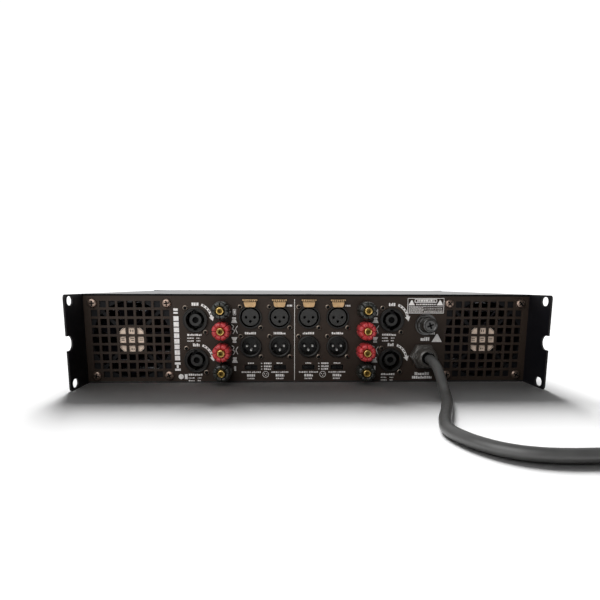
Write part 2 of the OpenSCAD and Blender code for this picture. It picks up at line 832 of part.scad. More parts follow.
base_plate();
side_plate(-1);  // side_plate_left
side_plate(1);  // side_plate_right
top_cover();
rear_panel();
front_panel();
front_grilles();
dust_filters();
handle(-1);  // handle_left
handle(1);  // handle_right
case_screws();
rear_screws();
fan_frame(-1);  // fan_frame_left
fan_frame(1);  // fan_frame_right
fan_rotor(-1);  // fan_rotor_left
fan_rotor(1);  // fan_rotor_right
main_board();
input_board();
heatsinks();
transformer();
capacitors();
speaker_sockets();
speaker_inserts();
xlr_inputs();
xlr_inserts();
xlr_latch(0);  // xlr_latch_1
xlr_latch(1);  // xlr_latch_2
xlr_latch(2);  // xlr_latch_3
xlr_latch(3);  // xlr_latch_4
xlr_links();
xlr_pins();
post_bases();
post_stems();
post_cap(0);  // post_cap_1
post_cap(1);  // post_cap_2
post_cap(2);  // post_cap_3
post_cap(3);  // post_cap_4
post_cap(4);  // post_cap_5
post_cap(5);  // post_cap_6
post_cap(6);  // post_cap_7
post_cap(7);  // post_cap_8
slide_switches();
slide_knob(0);  // slide_knob_1
slide_knob(1);  // slide_knob_2
slide_knob(2);  // slide_knob_3
slide_knob(3);  // slide_knob_4
fuse_holder();
fuse_cap();
fuse();
cable_gland();
gain_knob(0);  // gain_knob_1
gain_knob(1);  // gain_knob_2
gain_knob(2);  // gain_knob_3
gain_knob(3);  // gain_knob_4
rocker_frame();
power_rocker();
led_windows();
mains_lead();
mains_coil();
mains_plug();
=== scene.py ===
import math
import random

import bmesh
import bpy
from mathutils import Matrix, Vector


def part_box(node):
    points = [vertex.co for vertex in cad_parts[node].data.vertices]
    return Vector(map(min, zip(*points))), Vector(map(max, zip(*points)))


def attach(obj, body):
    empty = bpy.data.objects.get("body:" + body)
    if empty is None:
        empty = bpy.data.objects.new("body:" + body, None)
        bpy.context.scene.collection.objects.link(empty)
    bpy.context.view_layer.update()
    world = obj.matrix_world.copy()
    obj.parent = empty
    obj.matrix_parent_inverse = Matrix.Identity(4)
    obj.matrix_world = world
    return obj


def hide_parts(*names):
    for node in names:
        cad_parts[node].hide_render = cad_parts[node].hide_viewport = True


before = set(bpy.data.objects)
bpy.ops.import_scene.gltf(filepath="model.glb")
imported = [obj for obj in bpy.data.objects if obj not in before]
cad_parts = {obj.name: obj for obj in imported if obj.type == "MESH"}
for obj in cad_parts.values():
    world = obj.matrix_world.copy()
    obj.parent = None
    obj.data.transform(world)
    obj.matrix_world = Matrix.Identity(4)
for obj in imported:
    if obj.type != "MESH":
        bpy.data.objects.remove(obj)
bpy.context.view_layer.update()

# ---------------------------------------------------------------------------
# Sizes shared by many pieces, in millimetres
# ---------------------------------------------------------------------------

MM = 0.001
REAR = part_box("rear_panel")[0].y / MM        # outer face of the rear panel
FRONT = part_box("front_panel")[1].y / MM      # outer face of the front panel
SHEET = 1.5                                  # folded steel
CASE_H = 88.0

XLR_X = (-58.1, -29.4, -0.6, 28.1)
INPUT_Z, LINK_Z = 65.4, 36.4
XLRS = [(x, z) for x in XLR_X for z in (INPUT_Z, LINK_Z)]
POSTS = [(x, z) for x in (-85.2, 55.2) for z in (72.5, 53.0, 32.0, 12.5)]
RED_POSTS = (2, 3, 6, 7)
OUTLETS = [(-112.0, 62.6), (-112.0, 22.6), (82.0, 62.6), (82.0, 22.6)]
FUSE = (116.0, 58.5)
GLAND = (114.0, 27.0)
FAN_X, FAN_Z, FAN_SCREW = 175.0, 43.2, 35.75   # centres, and screws out from them
KNOB_X = [(i - 1.5) * 34.0 for i in range(4)]
KNOB_Z, LED_Z = 56.0, 33.0
ROCKER_Z = 17.0

LEAD_D = 9.0
COIL_AT = (274.0, -338.0)
COIL_OUTER, COIL_INNER = 58.0, 49.0
PLUG_X, PLUG_Y, PLUG_R = 332.0, -300.0, 18.4


# ---------------------------------------------------------------------------
# Camera
# ---------------------------------------------------------------------------

def make_camera():
    """A camera a little above the case, turned and tilted slightly."""
    yaw, pitch, roll = math.radians(1.89), math.radians(9.42), math.radians(0.16)
    ahead = Vector((math.sin(yaw) * math.cos(pitch), math.cos(yaw) * math.cos(pitch),
                    -math.sin(pitch)))
    level = Vector((math.cos(yaw), -math.sin(yaw), 0))
    upright = level.cross(ahead)
    right = level * math.cos(roll) + upright * math.sin(roll)
    up = upright * math.cos(roll) - level * math.sin(roll)
    data = bpy.data.cameras.new("camera")
    data.sensor_width = 36
    data.lens = 28.8
    data.shift_x = -0.0007
    data.shift_y = 0.108
    data.clip_start, data.clip_end = 0.01, 60
    cam = bpy.data.objects.new("camera", data)
    bpy.context.scene.collection.objects.link(cam)
    turn = Matrix((right, up, -ahead)).transposed().to_4x4()
    cam.matrix_world = Matrix.Translation((-0.0244, -0.6433, 0.0967)) @ turn
    bpy.context.scene.camera = cam


make_camera()


# ---------------------------------------------------------------------------
# Finishes
# ---------------------------------------------------------------------------

def surface(name, tone, rough=0.5, metal=0.0, grain=1500.0, depth=0.04, mottle=0.2,
            mottle_size=40.0, rough_var=0.1, edge=0.35, scuff_and_highlight_amount=0.0, scuff_and_highlight_tone=(0.2, 0.2, 0.2),
            coat=0.0, coat_rough=0.1, specular=0.5, subsurface=0.0, transmission=0.0,
            stretch=(1, 1, 1), emission=0.0):
    """A finish with an uneven tone, a fine grain, softened edges and a little pale colour on its
    edges: edge wear, and on the gland a painted highlight.
    grain and mottle_size are per metre, depth and edge in millimetres."""
    mat = bpy.data.materials.new(name)
    mat.use_nodes = True
    nodes, links = mat.node_tree.nodes, mat.node_tree.links
    shader = nodes["Principled BSDF"]
    place = nodes.new("ShaderNodeTexCoord")
    turn = nodes.new("ShaderNodeMapping")
    turn.inputs["Scale"].default_value = stretch
    links.new(place.outputs["Object"], turn.inputs["Vector"])

    patches = nodes.new("ShaderNodeTexNoise")
    patches.inputs["Scale"].default_value = mottle_size
    patches.inputs["Detail"].default_value = 5
    patches.inputs["Roughness"].default_value = 0.6
    links.new(turn.outputs[0], patches.inputs["Vector"])
    fine = nodes.new("ShaderNodeTexNoise")
    fine.inputs["Scale"].default_value = grain
    fine.inputs["Detail"].default_value = 3
    links.new(turn.outputs[0], fine.inputs["Vector"])

    tones = nodes.new("ShaderNodeValToRGB")
    tones.color_ramp.elements[0].position = 0.3
    tones.color_ramp.elements[1].position = 0.72
    tones.color_ramp.elements[0].color = [c * (1 - mottle) for c in tone] + [1]
    tones.color_ramp.elements[1].color = [min(1, c * (1 + mottle)) for c in tone] + [1]
    links.new(patches.outputs["Fac"], tones.inputs["Fac"])

    gloss = nodes.new("ShaderNodeMapRange")
    gloss.inputs["From Min"].default_value = 0.3
    gloss.inputs["From Max"].default_value = 0.7
    gloss.inputs["To Min"].default_value = max(0.03, rough - rough_var)
    gloss.inputs["To Max"].default_value = min(1.0, rough + rough_var)
    both = nodes.new("ShaderNodeMath")
    both.operation = "MULTIPLY_ADD"
    both.inputs[1].default_value = 0.4
    links.new(fine.outputs["Fac"], both.inputs[0])
    half = nodes.new("ShaderNodeMath")
    half.operation = "MULTIPLY"
    half.inputs[1].default_value = 0.6
    links.new(patches.outputs["Fac"], half.inputs[0])
    links.new(half.outputs[0], both.inputs[2])
    links.new(both.outputs[0], gloss.inputs["Value"])
    links.new(gloss.outputs[0], shader.inputs["Roughness"])

    bump = nodes.new("ShaderNodeBump")
    bump.inputs["Strength"].default_value = 0.5
    bump.inputs["Distance"].default_value = depth * MM
    links.new(fine.outputs["Fac"], bump.inputs["Height"])
    colour = tones.outputs["Color"]
    if edge:
        soft = nodes.new("ShaderNodeBevel")
        soft.samples = 6
        soft.inputs["Radius"].default_value = edge * MM
        links.new(soft.outputs[0], bump.inputs["Normal"])
        # Pale edges: edge wear, and on the gland a painted highlight along the edges.
        if scuff_and_highlight_amount:
            true = nodes.new("ShaderNodeNewGeometry")
            facing = nodes.new("ShaderNodeVectorMath")
            facing.operation = "DOT_PRODUCT"
            links.new(soft.outputs[0], facing.inputs[0])
            links.new(true.outputs["Normal"], facing.inputs[1])
            edge_scuff_and_highlight_mask = nodes.new("ShaderNodeMapRange")
            edge_scuff_and_highlight_mask.inputs["From Min"].default_value = 0.97
            edge_scuff_and_highlight_mask.inputs["From Max"].default_value = 0.80
            edge_scuff_and_highlight_mask.inputs["To Min"].default_value = 0.0
            edge_scuff_and_highlight_mask.inputs["To Max"].default_value = scuff_and_highlight_amount
            links.new(facing.outputs["Value"], edge_scuff_and_highlight_mask.inputs["Value"])
            patchy = nodes.new("ShaderNodeMath")
            patchy.operation = "MULTIPLY"
            links.new(edge_scuff_and_highlight_mask.outputs[0], patchy.inputs[0])
            links.new(patches.outputs["Fac"], patchy.inputs[1])
            mix = nodes.new("ShaderNodeMix")
            mix.data_type = "RGBA"
            mix.inputs["B"].default_value = (*scuff_and_highlight_tone, 1)
            links.new(patchy.outputs[0], mix.inputs["Factor"])
            links.new(colour, mix.inputs["A"])
            colour = mix.outputs["Result"]
    links.new(bump.outputs[0], shader.inputs["Normal"])
    links.new(colour, shader.inputs["Base Color"])
    shader.inputs["Metallic"].default_value = metal
    shader.inputs["Specular IOR Level"].default_value = specular
    shader.inputs["Coat Weight"].default_value = coat
    shader.inputs["Coat Roughness"].default_value = coat_rough
    shader.inputs["Subsurface Weight"].default_value = subsurface
    if subsurface:
        shader.inputs["Subsurface Scale"].default_value = 0.002
    shader.inputs["Transmission Weight"].default_value = transmission
    if emission:
        shader.inputs["Emission Color"].default_value = (*tone, 1)
        shader.inputs["Emission Strength"].default_value = emission
    return mat


FINISH = {
    "case_black": surface("case_powder_coat", (0.013, 0.0125, 0.013), 0.30, grain=1900,
                          depth=0.02, mottle=0.06, mottle_size=14, rough_var=0.02, edge=0.2,
                          scuff_and_highlight_amount=0.1, scuff_and_highlight_tone=(0.08, 0.08, 0.08), specular=0.72),
    "wing_black": surface("support_powder_coat", (0.005, 0.005, 0.007), 0.5, grain=1900,
                          depth=0.05, mottle=0.14, mottle_size=18, rough_var=0.06, edge=0.55,
                          scuff_and_highlight_amount=1.0, scuff_and_highlight_tone=(0.16, 0.14, 0.12), specular=0.26),
    "panel_black": surface("rear_powder_coat", (0.0325, 0.0215, 0.0155), 0.54, grain=2100,
                           depth=0.035, mottle=0.10, mottle_size=22, edge=0.25, scuff_and_highlight_amount=0.25,
                           scuff_and_highlight_tone=(0.12, 0.1, 0.09), specular=0.22),
    "front_black": surface("front_satin", (0.007, 0.007, 0.008), 0.36, grain=900, depth=0.012,
                           mottle=0.12, mottle_size=20, rough_var=0.05, edge=0.7, scuff_and_highlight_amount=0.5,
                           stretch=(0.05, 1, 1), specular=0.26),
    "grille_black": surface("intake_coat", (0.009, 0.009, 0.010), 0.45, grain=1800, mottle=0.2,
                            edge=0.2),
    "filter_foam": surface("foam", (0.05, 0.05, 0.052), 0.95, grain=700, depth=0.5, mottle=0.5,
                           mottle_size=500, edge=0),
    "handle_black": surface("handle_satin", (0.012, 0.012, 0.013), 0.28, grain=1500, depth=0.015,
                            mottle=0.15, edge=0),
    "screw_black": surface("blackened_steel", (0.08, 0.08, 0.085), 0.35, metal=0.9, grain=1300,
                           depth=0.01, mottle=0.3, mottle_size=300, edge=0.2, scuff_and_highlight_amount=0.6,
                           scuff_and_highlight_tone=(0.5, 0.5, 0.5)),
    "screw_nickel": surface("dark_nickel", (0.36, 0.265, 0.215), 0.36, metal=0.95, grain=1300,
                            depth=0.012, mottle=0.3, mottle_size=260, edge=0.25, scuff_and_highlight_amount=0.9,
                            scuff_and_highlight_tone=(0.75, 0.68, 0.6)),
    # Painted highlight: a light bronze tone for the black connector screws, standing for the light
    # on their rims.
    "screw_rim_highlight": surface("painted_rim_highlight_steel", (0.34, 0.28, 0.23), 0.42, metal=0.9, grain=1300,
                            depth=0.01, mottle=0.3, mottle_size=300, edge=0.2, scuff_and_highlight_amount=0.6,
                            scuff_and_highlight_tone=(0.6, 0.55, 0.5)),
    "fan_black": surface("fan_moulding", (0.004, 0.004, 0.005), 0.55, grain=900, depth=0.02,
                         mottle=0.25, edge=0.3, specular=0.2),
    "rotor_black": surface("fan_blades", (0.009, 0.008, 0.012), 0.5, grain=900, depth=0.02,
                           mottle=0.3, edge=0.25, specular=0.2),
    "board_green": surface("solder_mask", (0.02, 0.12, 0.05), 0.35, grain=500, depth=0.03,
                           mottle=0.35, mottle_size=160, edge=0),
    "heatsink_aluminium": surface("extruded_aluminium", (0.6, 0.61, 0.63), 0.36, metal=1.0,
                                  grain=700, depth=0.02, mottle=0.12, edge=0, stretch=(1, 0.03, 1)),
    "winding_copper": surface("copper_winding", (0.6, 0.25, 0.09), 0.3, metal=0.8, grain=350,
                              depth=0.3, mottle=0.3, mottle_size=120, edge=0),
    "capacitor_sleeve": surface("shrink_sleeve", (0.02, 0.028, 0.09), 0.25, grain=500, depth=0.02,
                                mottle=0.25, edge=0),
    "connector_black": surface("connector_nylon", (0.0095, 0.0083, 0.0070), 0.38, grain=1100,
                               depth=0.012, mottle=0.25, mottle_size=120, edge=0.4,
                               specular=0.36),
    "insert_grey": surface("insert_nylon", (0.018, 0.0175, 0.016), 0.45, grain=1100, depth=0.015,
                           mottle=0.2, mottle_size=150, edge=0.35),
    "latch_gold": surface("pale_gold", (0.58, 0.38, 0.20), 0.34, metal=0.9, grain=1600,
                          depth=0.012, mottle=0.18, mottle_size=260, edge=0.3, scuff_and_highlight_amount=0.6,
                          scuff_and_highlight_tone=(0.95, 0.85, 0.7)),
    "pin_silver": surface("silver_plate", (0.85, 0.84, 0.80), 0.4, metal=0.6, grain=1500,
                          depth=0.008, mottle=0.1, mottle_size=300, edge=0.2),
    "post_red": surface("red_moulding", (0.50, 0.040, 0.046), 0.42, grain=500, depth=0.015,
                        mottle=0.16, mottle_size=140, rough_var=0.06, edge=0, coat=0.2,
                        coat_rough=0.3, subsurface=0.25),
    "post_black": surface("black_moulding", (0.014, 0.0155, 0.013), 0.38, grain=500, depth=0.012,
                          mottle=0.2, mottle_size=140, rough_var=0.05, edge=0, coat=0.4,
                          coat_rough=0.14, specular=0.45),
    "stem_gold": surface("gold_plate", (0.85, 0.58, 0.2), 0.24, metal=0.95, grain=1400, depth=0.01,
                         mottle=0.2, mottle_size=300, edge=0.25),
    "switch_black": surface("switch_moulding", (0.005, 0.005, 0.005), 0.42, grain=900, depth=0.015,
                            mottle=0.25, edge=0.2, specular=0.3),
    "fuse_black": surface("phenolic", (0.017, 0.015, 0.0125), 0.3, grain=700, depth=0.004,
                          mottle=0.18, mottle_size=90, rough_var=0.04, edge=0, coat=0.9,
                          coat_rough=0.07, specular=0.45),
    "fuse_glass": surface("glass_tube", (0.7, 0.72, 0.74), 0.1, grain=500, depth=0.005, mottle=0.1,
                          edge=0, transmission=0.6),
    # The gland's pale edges are a painted highlight along its hex and dome edges.
    "gland_black": surface("gland_nylon", (0.064, 0.059, 0.053), 0.32, grain=800, depth=0.02,
                           mottle=0.2, mottle_size=100, edge=0.25, scuff_and_highlight_amount=0.5,
                           scuff_and_highlight_tone=(0.3, 0.29, 0.27), coat=0.5, coat_rough=0.18),
    "knob_black": surface("knob_moulding", (0.011, 0.011, 0.012), 0.33, grain=900, depth=0.015,
                          mottle=0.2, edge=0.3, scuff_and_highlight_amount=0.3),
    "led_window": surface("smoked_acrylic", (0.06, 0.012, 0.012), 0.12, grain=300, depth=0.005,
                          mottle=0.25, edge=0.2, coat=0.5),
    "lead_grey": surface("sheath", (0.090, 0.090, 0.088), 0.38, grain=500, depth=0.03, mottle=0.14,
                         mottle_size=60, edge=0, specular=0.7),
    "plug_black": surface("plug_moulding", (0.028, 0.028, 0.03), 0.42, grain=800, depth=0.03,
                          mottle=0.2, mottle_size=90, edge=0.3),
    # Painted shade: a near-black finish for pieces set where slots, recesses and gaps lie in shade.
    "recess_dark": surface("recess_shadow", (0.003, 0.003, 0.003), 0.7, grain=900, depth=0.01,
                           mottle=0.3, edge=0, specular=0.1),
    # Painted shade: a darkened copy of the stem's gold, for the inside of the bores.
    "shaded_bore_gold": surface("shaded_bore_gold", (0.30, 0.19, 0.03), 0.55, metal=0.3, grain=900,
                          depth=0.01, mottle=0.3, mottle_size=300, edge=0),
    "lamp_green": surface("green_lamp", (0.05, 0.5, 0.12), 0.3, grain=300, depth=0.005, mottle=0.2,
                          edge=0, emission=0.5),
    "lamp_amber": surface("amber_lamp", (0.6, 0.28, 0.03), 0.3, grain=300, depth=0.005, mottle=0.2,
                          edge=0, emission=0.25),
    "lamp_red": surface("red_lamp", (0.5, 0.03, 0.02), 0.3, grain=300, depth=0.005, mottle=0.2,
                        edge=0, emission=0.12),
    "print_white": surface("printing_ink", (0.93, 0.86, 0.82), 0.6, grain=1800, depth=0.01,
                           mottle=0.2, mottle_size=500, edge=0),
    "label_cream": surface("paper_label", (0.78, 0.62, 0.50), 0.6, grain=900, depth=0.02,
                           mottle=0.08, mottle_size=250, edge=0),
}

NODE_SLOTS = {
    "case_black": ["base_plate", "top_cover"],
    "wing_black": ["side_plate_left", "side_plate_right"],
    "panel_black": ["rear_panel"],
    "front_black": ["front_panel"],
    "grille_black": ["front_grilles"],
    "filter_foam": ["dust_filters"],
    "handle_black": ["handle_left", "handle_right"],
    "screw_black": ["case_screws"],
    "screw_nickel": ["rear_screws"],
    "fan_black": ["fan_frame_left", "fan_frame_right"],
    "rotor_black": ["fan_rotor_left", "fan_rotor_right"],
    "board_green": ["main_board", "input_board"],
    "heatsink_aluminium": ["heatsinks"],
    "winding_copper": ["transformer"],
    "capacitor_sleeve": ["capacitors"],
    "connector_black": ["speaker_sockets", "xlr_inputs", "xlr_links", "post_bases"],
    "insert_grey": ["speaker_inserts", "xlr_inserts"],
    "latch_gold": ["xlr_latch_%d" % i for i in range(1, 5)],
    "pin_silver": ["xlr_pins"],
    "post_black": ["post_cap_%d" % i for i in range(1, 9) if i not in RED_POSTS],
    "post_red": ["post_cap_%d" % i for i in RED_POSTS],
    "stem_gold": ["post_stems"],
    "switch_black": ["slide_switches"] + ["slide_knob_%d" % i for i in range(1, 5)],
    "fuse_black": ["fuse_holder", "fuse_cap"],
    "fuse_glass": ["fuse"],
    "gland_black": ["cable_gland"],
    "knob_black": ["gain_knob_%d" % i for i in range(1, 5)] + ["rocker_frame", "power_rocker"],
    "led_window": ["led_windows"],
    "lead_grey": ["mains_lead", "mains_coil"],
    "plug_black": ["mains_plug"],
}

for slot, names in NODE_SLOTS.items():
    for name in names:
        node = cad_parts[name]
        for held in node.material_slots:
            held.material = FINISH[slot]


# ---------------------------------------------------------------------------
# Making pieces
# ---------------------------------------------------------------------------

def on_rear(x, z, out=0.0, turn=0.0):
    """A place on the rear panel: its own Z points out of the panel."""
    return (Matrix.Translation((x * MM, (REAR - out) * MM, z * MM))
            @ Matrix.Rotation(math.pi / 2, 4, "X") @ Matrix.Rotation(math.radians(turn), 4, "Z"))


def on_front(x, z, out=0.0, turn=0.0):
    """A place on the front panel: its own Z points out of the panel."""
    return (Matrix.Translation((x * MM, (FRONT + out) * MM, z * MM))
            @ Matrix.Rotation(math.pi, 4, "Z") @ Matrix.Rotation(math.pi / 2, 4, "X")
            @ Matrix.Rotation(math.radians(turn), 4, "Z"))


def join(bm, part, place):
    """Adds a finished part to a piece, set in its place."""
    bmesh.ops.remove_doubles(part, verts=part.verts, dist=1e-6)
    bmesh.ops.recalc_face_normals(part, faces=part.faces)
    part.transform(place)
    held = bpy.data.meshes.new("held")
    part.to_mesh(held)
    part.free()
    bm.from_mesh(held)
    bpy.data.meshes.remove(held)


def ease(part, width, angle=28):
    """Rounds the sharp edges of a part."""
    sharp = [e for e in part.edges
             if len(e.link_faces) == 2 and e.calc_face_angle(0) > math.radians(angle)]
    bmesh.ops.bevel(part, geom=sharp, offset=width * MM, offset_type="OFFSET", affect="EDGES",
                    segments=2, profile=0.5, material=-1, clamp_overlap=True)


def turned(profile, steps=48):
    """A part turned on its own axis, from its outline of radius and height."""
    part = bmesh.new()
    points = [part.verts.new((r * MM, 0, h * MM)) for r, h in profile]
    edges = [part.edges.new(pair) for pair in zip(points, points[1:])]
    bmesh.ops.spin(part, geom=points + edges, cent=(0, 0, 0), axis=(0, 0, 1),
                   angle=2 * math.pi, steps=steps, use_merge=True)
    bmesh.ops.remove_doubles(part, verts=part.verts, dist=1e-6)
    return part


def brick(size, rounding=0.0):
    """A block centred on its own origin."""
    part = bmesh.new()
    bmesh.ops.create_cube(part, size=1, matrix=Matrix.Diagonal((size[0] * MM, size[1] * MM,
                                                               size[2] * MM, 1)))
    if rounding:
        ease(part, rounding)
    return part


def piece(name, bm, body, slot, replaces=(), finish=None, sharp=36):
    """Makes a bmesh a shown piece that rides on a body."""
    mesh = bpy.data.meshes.new(name)
    bm.to_mesh(mesh)
    bm.free()
    for face in mesh.polygons:
        face.use_smooth = True
    mesh.set_sharp_from_angle(angle=math.radians(sharp))
    mesh.materials.append(finish or FINISH[slot])
    made = bpy.data.objects.new(name, mesh)
    bpy.context.scene.collection.objects.link(made)
    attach(made, body)
    if replaces:
        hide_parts(*replaces)
    return made


# ---------------------------------------------------------------------------
# Mains lead: one length of cord, from the gland to the plug
# ---------------------------------------------------------------------------

LEAD_START = [
    (114, -193, 27), (114, -197, 27), (114, -205, 26.2), (114.5, -214, 23.6), (114.5, -223, 18.8),
    (114.5, -232, 12.2), (113.5, -241, 7.6), (112, -250, 5.2), (109.5, -260, 4.5),
    (106, -272, 4.5), (101, -286, 4.5), (96, -300, 4.5), (90, -315, 4.5), (85, -330, 4.5),
    (82, -345, 4.5), (85, -362, 4.5), (92, -376, 4.5), (102, -387, 4.5), (115, -393.5, 4.5),
    (130, -396, 4.5), (150, -396, 4.5), (175, -396, 4.5), (200, -396, 4.5), (225, -396, 4.5),
    (250, -396, 4.5),
]
LEAD_END = [(332, -334, 13.8), (332, -326, 15), (332, -316, 17), (332, -308, 18.2),
            (332, -300, 18.4)]


def coil_point(angle):
    """The lead's place in the coil: two turns wide and two layers high."""
    low, high = LEAD_D / 2, LEAD_D * 1.5
    wide = COIL_OUTER - COIL_INNER
    r, z = COIL_OUTER, low
    if 180 <= angle < 270:
        r = COIL_OUTER - wide * (angle - 180) / 90
    elif 270 <= angle < 540:
        r = COIL_INNER
    elif 540 <= angle < 630:
        t = (angle - 540) / 90
        r = COIL_INNER - 3.5 * math.sin(math.pi * t)
        z = low + (high - low) * t
    elif 630 <= angle < 900:
        r, z = COIL_INNER, high
    elif 900 <= angle < 990:
        r, z = COIL_INNER + wide * (angle - 900) / 90, high
    elif angle >= 990:
        z = high
    a = math.radians(angle)
    return (COIL_AT[0] + r * math.cos(a), COIL_AT[1] + r * math.sin(a), z)


def make_lead():
    """The lead as one curve: out of the gland, along the floor, round the coil, to the plug."""
    step = 15     # degrees between the coil's points
    coil = [coil_point(a) for a in range(-90, 1080 + step, step)]
    route = [Vector(p) * MM for p in LEAD_START + coil + LEAD_END]
    data = bpy.data.curves.new("lead", "CURVE")
    data.dimensions = "3D"
    data.bevel_depth = LEAD_D / 2 * MM
    data.bevel_resolution = 6
    data.resolution_u = 5
    data.use_fill_caps = True
    line = data.splines.new("BEZIER")
    line.bezier_points.add(len(route) - 1)
    for knot, at in zip(line.bezier_points, route):
        knot.co = at
        knot.handle_left_type = knot.handle_right_type = "AUTO"
    data.materials.append(FINISH["lead_grey"])
    lead = bpy.data.objects.new("lead", data)
    bpy.context.scene.collection.objects.link(lead)
    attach(lead, "chassis")
    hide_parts("mains_lead", "mains_coil")
    length = sum((b - a).length for a, b in zip(route, route[1:]))
    return lead, route[0], length


def make_plug():
    """Moulded plug with a ribbed strain relief, grip ribs and two round pins."""
    bm = bmesh.new()
    lie = Matrix.Translation((PLUG_X * MM, PLUG_Y * MM, PLUG_R * MM)) @ Matrix.Rotation(
        -math.pi / 2, 4, "X")
    relief = [(LEAD_D / 2, 0), (4.9, 0)]
    for i in range(6):
        r, h = 5.0 + i * 0.42, i * 4.2
        relief += [(r + 0.55, 0.6 + h), (r + 0.7, 3.2 + h), (r, 3.5 + h), (r, 4.6 + h)]
    body = [(8.2, 26), (11.2, 26.6), (13.0, 29), (15.0, 34), (17.3, 39), (18.2, 42), (18.4, 45),
            (18.4, 58), (17.9, 59.6), (16.9, 60), (0, 60)]
    join(bm, turned([(0, 0)] + relief + body, 56), lie)
    for i in range(12):
        a = 2 * math.pi * i / 12
        rib = brick((2.2, 0.7, 13), 0.25)
        join(bm, rib, lie @ Matrix.Rotation(a, 4, "Z")
             @ Matrix.Translation((0, 18.1 * MM, 50 * MM)))
    plug = piece("plug_body", bm, "chassis", "plug_black", replaces=["mains_plug"])
    pins = bmesh.new()
    for side in (-1, 1):
        pin = turned([(0, 59.5), (2.4, 59.5), (2.4, 77), (2.0, 78.6), (1.2, 79), (0, 79)], 24)
        join(pins, pin, lie @ Matrix.Translation((9.5 * side * MM, 0, 0)))
    pins = piece("plug_pins", pins, "chassis", "pin_silver")
    return plug, pins


def make_tie():
    """A strap round the coil where its turns lie together."""
    bm = bmesh.new()
    part = bmesh.new()
    inner, outer, low, high = COIL_INNER - LEAD_D / 2, COIL_OUTER + LEAD_D / 2, 0.6, LEAD_D * 2
    bmesh.ops.create_cube(part, size=1, matrix=Matrix.Diagonal(
        ((outer - inner + 1.2) * MM, 11 * MM, (high - low + 0.9) * MM, 1)))
    caps = [f for f in part.faces if abs(f.normal.y) > 0.9]
    long = [e for e in part.edges if abs(e.verts[0].co.y - e.verts[1].co.y) > 0.005]
    bmesh.ops.delete(part, geom=caps, context="FACES")
    bmesh.ops.bevel(part, geom=[e for e in long if e.is_valid], offset=3.6 * MM,
                    offset_type="OFFSET", affect="EDGES", segments=5, profile=0.5, material=-1)
    bmesh.ops.solidify(part, geom=part.faces, thickness=1.1 * MM)
    middle = Vector(((COIL_AT[0] + (inner + outer) / 2), COIL_AT[1], (low + high) / 2)) * MM
    spin = Matrix.Translation((COIL_AT[0] * MM, COIL_AT[1] * MM, 0)) @ Matrix.Rotation(
        math.radians(52), 4, "Z") @ Matrix.Translation((-COIL_AT[0] * MM, -COIL_AT[1] * MM, 0))
    join(bm, part, spin @ Matrix.Translation(middle))
    return piece("coil_tie", bm, "chassis", "plug_black")


lead, lead_exit, lead_length = make_lead()
plug_body, plug_pins = make_plug()
coil_tie = make_tie()


# ---------------------------------------------------------------------------
# Cable gland
# ---------------------------------------------------------------------------

def make_gland():
    """A hexagon nut with a round nose, and a black rubber seal where the lead goes in, in the
    near-black finish that also paints the shade in the gap round the lead.
    """
    flats, nut_l = 23.0, 9.0
    corners = flats / 2 / math.cos(math.pi / 6)
    bm = bmesh.new()
    nut = bmesh.new()
    bmesh.ops.create_cone(nut, cap_ends=True, segments=6, radius1=corners * MM,
                          radius2=corners * MM, depth=nut_l * MM)
    ease(nut, 0.6, 20)
    join(bm, nut, on_rear(*GLAND, nut_l / 2, 30))
    join(bm, turned([(0, 8.6), (11.2, 8.6), (11.35, 9.3), (11.0, 9.9), (10.2, 10.2), (10.0, 11),
                     (10.0, 18.5), (9.8, 20.3), (9.2, 21.8), (8.4, 22.9), (7.6, 23.5), (6.9, 23.6),
                     (6.5, 23.3), (6.4, 22.5), (6.4, 19.0), (0, 19.0)], 64), on_rear(*GLAND))
    piece("gland_nut", bm, "chassis", "gland_black", replaces=["cable_gland"])
    # The seal's near-black finish is its black rubber together with painted shade in the gap round
    # the lead.
    seal = bmesh.new()
    join(seal, turned([(0, 18.8), (5.4, 18.8), (5.4, 23.4), (5.3, 24.4), (5.0, 25.0),
                       (4.4, 25.2), (0, 25.2)], 40), on_rear(*GLAND))
    piece("gland_seal", seal, "chassis", "plug_black", finish=FINISH["recess_dark"])


make_gland()


# ---------------------------------------------------------------------------
# Binding post caps
# ---------------------------------------------------------------------------

